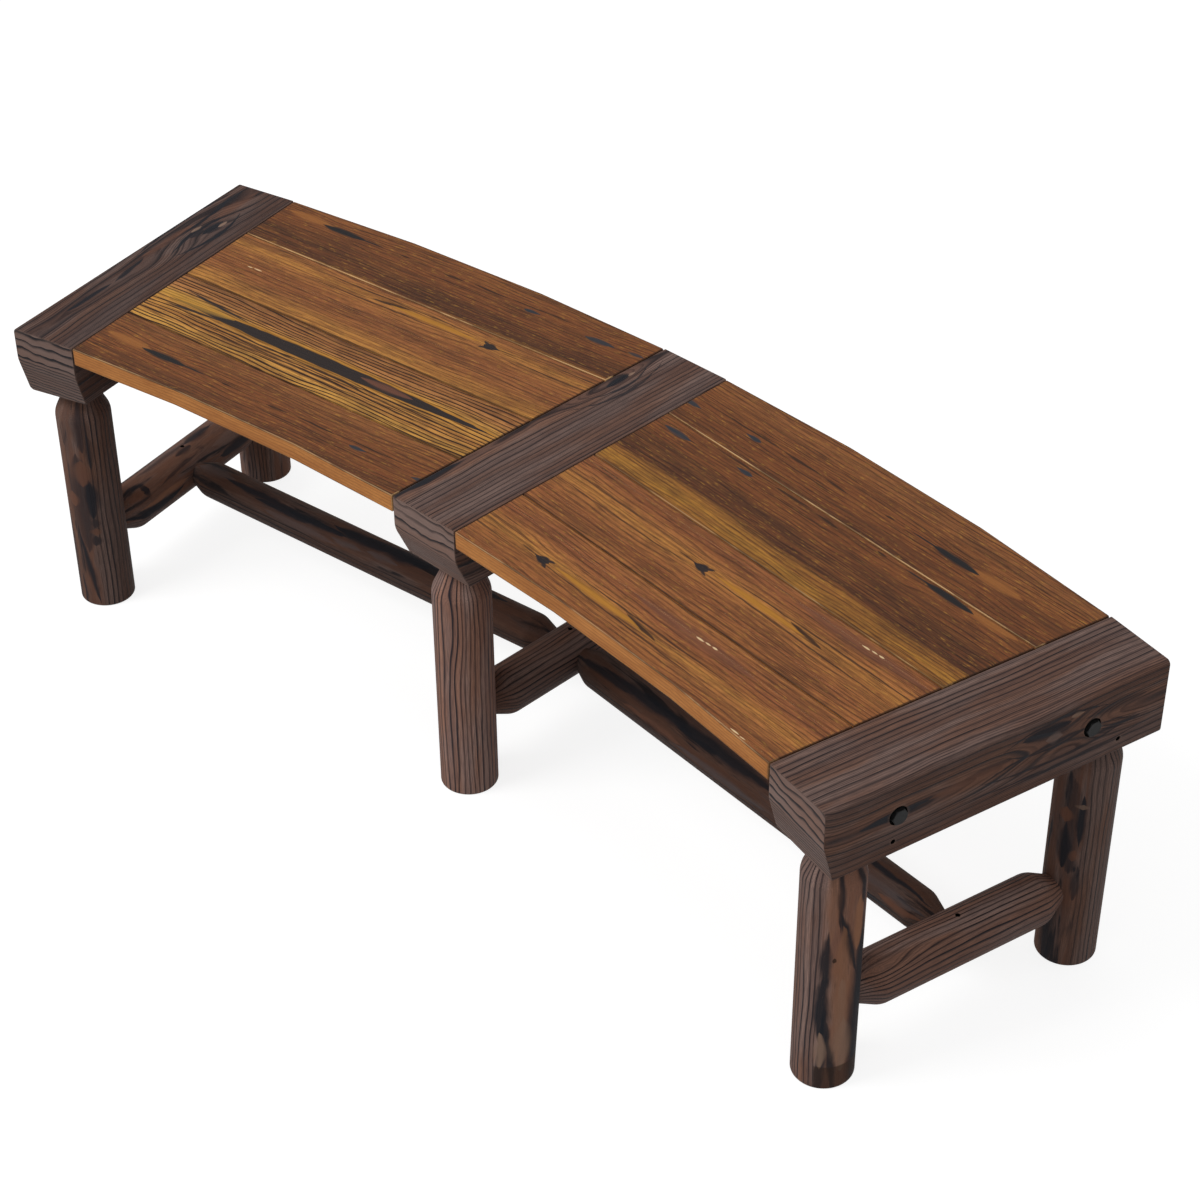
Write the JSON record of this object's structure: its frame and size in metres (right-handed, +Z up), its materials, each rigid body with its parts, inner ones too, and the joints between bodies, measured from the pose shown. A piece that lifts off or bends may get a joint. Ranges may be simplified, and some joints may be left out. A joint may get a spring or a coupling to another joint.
{
  "type": "tree bench",
  "caption": "Curved backless log bench: mitred plank seat panels between dark bearers on round log legs, tied by turned stretchers.",
  "frame": {"origin": "on the ground, at the middle of the bench's overall box", "axes": "+X along the bench to the right as seen from the hollow front side, +Y to the rear, +Z up"},
  "size_m": [1.6468, 0.571, 0.45],
  "materials": {
    "charred_wood": "dark charred and brushed softwood with an oiled, satin surface",
    "seat_board": "warm brown boards with scorched grain, oiled to a satin sheen",
    "ledger_wood": "sawn and stained softwood, matt",
    "black_steel": "matt black coated steel",
    "zinc_steel": "zinc-plated steel"
  },
  "bodies": {
    "root": {"bearer_left": "charred_wood", "bearer_centre": "charred_wood", "bearer_right": "charred_wood", "leg_front_left": "charred_wood", "leg_rear_left": "charred_wood", "leg_front_centre": "charred_wood", "leg_rear_centre": "charred_wood", "leg_front_right": "charred_wood", "leg_rear_right": "charred_wood", "cross_stretcher_left": "charred_wood", "cross_stretcher_centre": "charred_wood", "cross_stretcher_right": "charred_wood", "long_stretcher_left": "charred_wood", "long_stretcher_right": "charred_wood", "board_left_1": "seat_board", "board_left_2": "seat_board", "board_left_3": "seat_board", "board_left_4": "seat_board", "board_right_1": "seat_board", "board_right_2": "seat_board", "board_right_3": "seat_board", "board_right_4": "seat_board", "ledger_left_end": "ledger_wood", "ledger_left_inner": "ledger_wood", "ledger_right_inner": "ledger_wood", "ledger_right_end": "ledger_wood", "end_bolts": "black_steel", "centre_bolts": "black_steel", "nuts": "black_steel", "washers": "black_steel", "ledger_screws": "black_steel", "stretcher_screws": "black_steel", "board_screws": "zinc_steel"}
  },
  "joints": []
}
